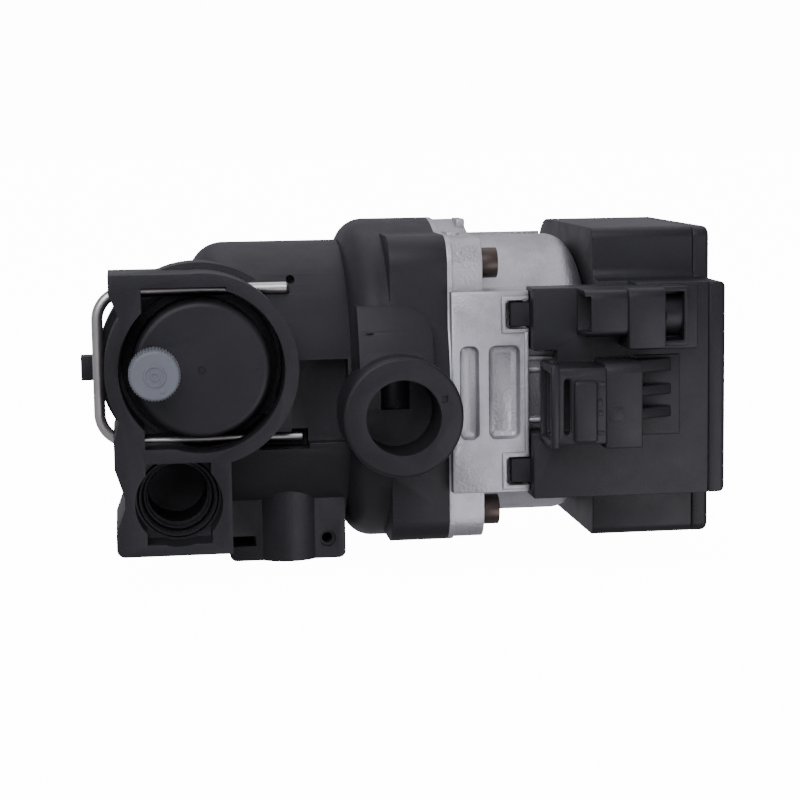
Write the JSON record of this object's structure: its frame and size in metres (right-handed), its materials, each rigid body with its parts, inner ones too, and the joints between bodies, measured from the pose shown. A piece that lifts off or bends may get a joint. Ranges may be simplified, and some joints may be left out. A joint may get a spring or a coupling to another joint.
{
  "type": "boiler circulating pump with hydraulic block",
  "caption": "Wet-rotor circulating pump with electronic control box on a composite hydraulic block with air separator, clip-held air vent, outlet and quick-fit ports.",
  "frame": {"origin": "on the pump shaft's axis, in the plane square to it that holds the outlet port's axis", "axes": "+X along the shaft from the hydraulic block to the control box, -Y out of the outlet port and the vent, +Z from the foot to the top edge"},
  "size_m": [0.1786, 0.1145, 0.0959],
  "materials": {
    "black_composite": "glass-filled moulding, fine satin grain",
    "lid_plastic": "smooth satin moulding",
    "spring_steel": "drawn spring wire",
    "grey_cap": "matt moulding with a knurled edge",
    "seal_rubber": "smooth rubber",
    "valve_plastic": "natural moulding",
    "impeller_plastic": "glass-filled moulding",
    "stainless": "drawn stainless sheet",
    "ceramic": "ground ceramic",
    "carbon": "sintered carbon",
    "rotor_steel": "laminated and ground",
    "copper": "enamelled winding wire",
    "cast_aluminium": "shot-blasted die casting",
    "black_oxide": "black oxide",
    "box_plastic": "fine spark-eroded grain",
    "contact_metal": "tinned contact",
    "circuit_green": "solder mask",
    "component_case": "sleeved component",
    "window": "smoked window",
    "button_plastic": "matt moulding"
  },
  "bodies": {
    "pump": {"separator_housing": "black_composite", "volute_housing": "black_composite", "vent_lid": "lid_plastic", "lid_o_ring": "seal_rubber", "lever_pin": "stainless", "side_plug": "lid_plastic", "wear_ring": "stainless", "bearing_plate": "stainless", "front_bearing": "carbon", "rear_bearing": "carbon", "flange_gasket": "seal_rubber", "rotor_can": "stainless", "stator_core": "rotor_steel", "stator_windings": "copper", "motor_housing": "cast_aluminium", "housing_screws": "black_oxide", "box_base": "box_plastic", "box_cover": "box_plastic", "circuit_board": "circuit_green", "capacitors": "component_case", "power_socket": "box_plastic", "power_pins": "contact_metal", "signal_socket": "box_plastic", "signal_pins": "contact_metal", "tact_switch": "component_case", "display_window": "window"},
    "rotor": {"impeller": "impeller_plastic", "shaft": "ceramic", "thrust_collar": "carbon", "rotor_magnet": "rotor_steel"},
    "clip": {"vent_clip": "spring_steel"},
    "cap_seal": {"cap_washer": "seal_rubber"},
    "cap": {"vent_cap": "grey_cap"},
    "valve": {"valve_pin": "valve_plastic", "valve_seal": "seal_rubber"},
    "float": {"vent_float": "valve_plastic"},
    "lever": {"float_lever": "valve_plastic"},
    "button": {"push_button": "button_plastic"}
  },
  "joints": [
    {"name": "rotor_spin", "type": "hinge", "parent": "pump", "child": "rotor", "pos_m": [0, 0, 0], "axis": [1, 0, 0], "continuous": true},
    {"name": "clip_pull", "type": "slide", "parent": "pump", "child": "clip", "axis": [-1, 0, 0], "range_m": [0, 0.052]},
    {"name": "cap_lift", "type": "slide", "parent": "pump", "child": "cap_seal", "axis": [0, -1, 0], "range_m": [0, 0.002]},
    {"name": "cap_turn", "type": "hinge", "parent": "cap_seal", "child": "cap", "pos_m": [-0.0665, -0.048, 0.008], "axis": [0, -1, 0], "range_deg": [0, 721]},
    {"name": "float_drop", "type": "slide", "parent": "pump", "child": "float", "axis": [0, 1, 0], "range_m": [0, 0.004]},
    {"name": "lever_swing", "type": "hinge", "parent": "pump", "child": "lever", "pos_m": [-0.0712, -0.0175, 0.008], "axis": [0, 0, 1], "range_deg": [0, 12.1]},
    {"name": "valve_open", "type": "slide", "parent": "pump", "child": "valve", "axis": [0, 1, 0], "range_m": [0, 0.001]},
    {"name": "button_press", "type": "slide", "parent": "pump", "child": "button", "axis": [-1, 0, 0], "range_m": [0, 0.0005], "stiffness_N_per_m": 800}
  ],
  "couplings": [
    {"joint": "cap_turn", "follows": "cap_lift", "rad_per_m": 6283.2},
    {"joint": "lever_swing", "follows": "float_drop", "rad_per_m": 52.632},
    {"joint": "valve_open", "follows": "float_drop", "ratio": 0.25}
  ]
}
